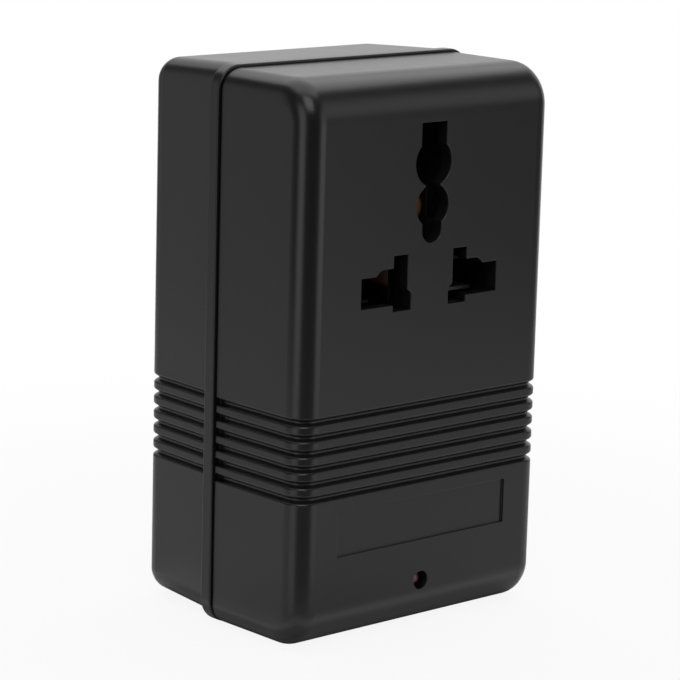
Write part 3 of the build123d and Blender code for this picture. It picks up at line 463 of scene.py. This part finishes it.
seal_start = 0.0021
seal_length = 0.0015
silver = Finish("fuse_silver", (0.62, 0.62, 0.60), 0.28, Metallic=1.0)
lengthwise = silver.axis("X")
sealed = (lengthwise > seal_start) * (lengthwise < seal_start + seal_length)
silver.feed("Base Color", silver.colors(sealed, (0.62, 0.62, 0.60), (0.16, 0.15, 0.14)))
silver.feed("Roughness", 0.22 + 0.18 * silver.noise(1800.0, 2.0))
dress(silver, "thermal_fuse")

# Selector plate and housing: the plate is punched from the strap's steel and carries the switch
# behind the back wall. The housing is an open box of the carrier's plastic, with the terminals.

dress(bright_steel, "selector_plate")
dress(insulator, "selector_housing")

# Selector slider: red nylon, a carriage in the housing with a handle in the back wall's window. It
# slides five millimetres between its two stops.

red = Finish("slider_red", (0.42, 0.022, 0.016), 0.36)
red.bump(red.noise(2600.0, 2.0), 0.00001)
dress(red, "selector_slider")

# Selector wipers: two sprung bridges of copper strip under the slider. They ride with it, and each
# joins two terminals.

wiper_copper = Finish("contact_copper", (0.62, 0.27, 0.12), 0.34, Metallic=1.0)
tarnish = wiper_copper.noise(420.0, 4.0, 0.6)
wiper_copper.feed("Base Color", wiper_copper.colors(tarnish, (0.72, 0.34, 0.16), (0.46, 0.17, 0.08)))
wiper_copper.feed("Roughness", 0.26 + 0.22 * tarnish)
wiper_copper.bump(wiper_copper.noise(5200.0, 2.0, 0.5, (0.1, 1.0, 1.0)), 0.000008)
dress(wiper_copper, "selector_wipers")

# Selector terminals: six brass strips pressed into the housing's slots. The leads are soldered to
# their inner ends.

brass = Finish("terminal_brass", (0.62, 0.47, 0.22), 0.30, Metallic=1.0)
brass.feed("Roughness", 0.22 + 0.20 * brass.noise(1600.0, 3.0))
dress(brass, "selector_terminals")

# Selector screws: two countersunk steel screws, zinc-plated like the others. They hold the plate
# to the back wall.

dress(zinc, "selector_screws")

# Mains inlet: a satin black moulding with a bezel flush with the back. Its two-lobed cavity takes
# the connector of a two-core lead.

satin = Finish("inlet_black", (0.013, 0.013, 0.0135), 0.34, Specular_IOR_Level=0.45)
satin.bump(satin.noise(4200.0, 2.0), 0.000008)
dress(satin, "inlet_body")

# Inlet pins: two round brass pins, nickel-plated, pressed into the inlet. Each ends in a tab for
# its lead.

plated = Finish("inlet_brass", (0.66, 0.63, 0.54), 0.22, Metallic=1.0)
plated.feed("Roughness", 0.16 + 0.16 * plated.noise(1400.0, 2.0))
dress(plated, "inlet_pins")

# Lead wires: stranded copper in coloured PVC, one colour for each run. They are bent by hand and
# soldered at both ends.

for node, slot, color in (("inlet_live_lead", "lead_brown", (0.17, 0.065, 0.025)),
                          ("inlet_neutral_lead", "lead_blue", (0.03, 0.09, 0.36)),
                          ("selector_leads", "lead_red", (0.45, 0.03, 0.02)),
                          ("output_leads", "lead_black", (0.02, 0.02, 0.02)),
                          ("led_leads", "lead_white", (0.72, 0.72, 0.70))):
    sleeve = Finish(slot, color, 0.34)
    sleeve.bump(sleeve.noise(1200.0, 2.0), 0.00002)
    dress(sleeve, node)

# Rear shell: a moulding in the front shell's plastic, with the rim that covers the joint. It has
# four counterbored screw holes, and openings for the selector and the inlet.

dress(plastic, "rear_shell")

# Case screws: four long pan-head screws of zinc-plated steel, sunk in the rear shell's holes. They
# draw the two shells together.

dress(zinc, "case_screws")

# Floor: a plain white surface that keeps a soft shadow and that the camera sees nearly white. The
# gloss of the case shows it pale close by, darker further out, with a dark card between two strips;
# close by and in the strips it glows white for glossy rays only, as painted reflections.

floor_radius = 0.26
rim_points = 96
footprint = (0.027, 0.021, 0)
near_corner = (-0.025, -0.019, 0)
near_color = (0.84, 0.84, 0.84)
far_color = (0.76, 0.76, 0.76)
card_color = (0.30, 0.30, 0.30)
camera_share = 0.9
close_share = 0.7
strip_share = 0.85
floor_sink = 0.00002
floor = Finish("floor_white", near_color, 0.9, Specular_IOR_Level=0.0)
seen = floor.node("ShaderNodeLightPath", {}, {}, "Is Camera Ray")
mirrored = floor.node("ShaderNodeLightPath", {}, {}, "Is Glossy Ray")

from_middle = floor.vector("LENGTH", floor.place())
outwards = floor.step(from_middle, 0.05, 0.2)
afar = floor.step(from_middle, 0.035, 0.1)
beyond = floor.step(from_middle, 0.045, 0.07)

from_case = floor.vector("SUBTRACT", floor.vector("ABSOLUTE", floor.place()), footprint)
past_side = floor.part(from_case, "X")
past_case = past_side.join("MAXIMUM", past_side, floor.part(from_case, "Y"))
close_by = floor.step(past_case, 0.001, 0.005) * (1.0 - floor.step(past_case, 0.005, 0.012))

from_corner = floor.vector("NORMALIZE", floor.vector("SUBTRACT", floor.place(), near_corner))


def sector(tree, direction, bearing, inner, outer):
    """A soft sector round a bearing, in degrees from the front towards the right: full within the
    inner angle from it, and gone past the outer one."""
    aim = (math.sin(math.radians(bearing)), -math.cos(math.radians(bearing)), 0)
    alike = tree.vector("DOT_PRODUCT", direction, aim)
    return tree.step(alike, math.cos(math.radians(outer)), math.cos(math.radians(inner)))


card = beyond * sector(floor, from_corner, -27, inner=30, outer=42)
left_strip = sector(floor, from_corner, -82, inner=5, outer=20)
right_strip = sector(floor, from_corner, 24, inner=4, outer=17)
strips = beyond * (left_strip + right_strip)
floor.feed("Base Color", floor.colors(card, floor.colors(afar, near_color, far_color), card_color))
white_share = seen * (camera_share + (1.0 - camera_share) * outwards)
# Painted reflections: for glossy rays only, the floor glows white close by the case and in two strips.
white_share = white_share + mirrored * (close_share * close_by + strip_share * strips)
white = floor.node("ShaderNodeEmission", {}, {"Color": (1, 1, 1, 1), "Strength": 1.0})
painted = Field(floor.tree, floor.shader.outputs[0])
surface = floor.node("ShaderNodeMixShader", {}, {0: white_share, 1: painted, 2: white})
floor.tree.links.new(surface.socket, floor.tree.nodes["Material Output"].inputs["Surface"])

turn = 2 * math.pi / rim_points
ground = built("floor", [(floor_radius * math.cos(turn * index), floor_radius * math.sin(turn * index), 0)
                         for index in range(rim_points)], [tuple(range(rim_points))], floor)
ground.location.z = -floor_sink

# Surround: a studio of pale walls in a dim room, and two large soft lamps above. What the camera
# sees straight is white.

surround = bpy.data.worlds.new("surround")
bpy.context.scene.world = surround
surround.use_nodes = True
sky = Nodes(surround.node_tree)
straight = sky.node("ShaderNodeLightPath", {}, {}, "Is Camera Ray")
heading = sky.node("ShaderNodeTexCoord", {}, {}, "Generated")
height = sky.part(heading, "Z")
level_heading = sky.vector("NORMALIZE", sky.vector("MULTIPLY", heading, (1, 1, 0)))
foot_blend = 0.12
top_blend = 0.15


def wall(bearing, inner, outer, foot, top, level):
    """A pale wall: its bearing and half widths in degrees, its foot and top as the sines of their
    elevations, and its brightness."""
    upright = sky.step(height, foot - foot_blend, foot + foot_blend)
    upright = upright * sky.step(height, top + top_blend, top - top_blend)
    return level * (sector(sky, level_heading, bearing, inner, outer) * upright)


room_level = 0.07
light = room_level + wall(128, 14, 55, foot=-0.45, top=0.60, level=0.89)
light = light + wall(-79, 5, 20, foot=-0.60, top=0.50, level=1.25)
light = light + wall(24, 4, 17, foot=-0.45, top=0.02, level=1.35)
light = light + wall(24, 4, 17, foot=0.02, top=0.45, level=0.85)
light = light + wall(50, 9, 22, foot=0.16, top=0.62, level=0.72)
light = light + wall(50, 10, 24, foot=-0.45, top=0.0, level=0.12)
light = light + wall(-148, 8, 30, foot=-0.50, top=0.40, level=0.42)
strength = light + (1.0 - light) * straight
background = sky.tree.nodes["Background"]
sky.tree.links.new(strength.socket, background.inputs["Strength"])
background.inputs["Color"].default_value = (1, 1, 1, 1)


def lamp_panel(name, place, target, width, power):
    """A soft square lamp that looks at a target."""
    data = bpy.data.lights.new(name, "AREA")
    data.shape = "RECTANGLE"
    data.size = width
    data.size_y = width
    data.energy = power
    made = bpy.data.objects.new(name, data)
    bpy.context.scene.collection.objects.link(made)
    made.location = place
    made.rotation_mode = "QUATERNION"
    made.rotation_quaternion = (Vector(target) - Vector(place)).to_track_quat("-Z", "Y")


lamp_panel("top_panel", (0.12, 0.18, 0.75), (0, 0, 0.04), width=1.0, power=4.5)
lamp_panel("front_panel", (-0.45, -0.55, 0.85), (0, 0, 0.05), width=0.6, power=2.5)

# Camera: the photograph's own, solved from the socket's apertures and the case's outline. It looks
# down a little from the front left, through a long lens.

azimuth = math.radians(-42.155)
elevation = math.radians(11.822)
roll = math.radians(1.567)
camera_place = Vector((-0.32316, -0.35721, 0.14503))
frame_px = 680
focal_px = 2960.12
shift_x_px = -0.7
shift_y_px = 0.6
sensor = 36.0
towards_camera = Vector((math.sin(azimuth) * math.cos(elevation),
                         -math.cos(azimuth) * math.cos(elevation), math.sin(elevation)))
level_right = (-towards_camera).cross(Vector((0, 0, 1))).normalized()
level_up = level_right.cross(-towards_camera)
right = math.cos(roll) * level_right + math.sin(roll) * level_up
up = -math.sin(roll) * level_right + math.cos(roll) * level_up
view_camera = bpy.data.objects.new("photo_camera", bpy.data.cameras.new("photo_camera"))
bpy.context.scene.collection.objects.link(view_camera)
turned = Matrix((right, up, towards_camera)).transposed().to_4x4()
turned.translation = camera_place
view_camera.matrix_world = turned
view_camera.data.sensor_width = sensor
view_camera.data.lens = focal_px * sensor / frame_px
view_camera.data.shift_x = shift_x_px / frame_px
view_camera.data.shift_y = shift_y_px / frame_px
view_camera.data.clip_start = 0.01
view_camera.data.clip_end = 20.0
bpy.context.scene.camera = view_camera
bpy.context.scene.view_settings.view_transform = "Standard"
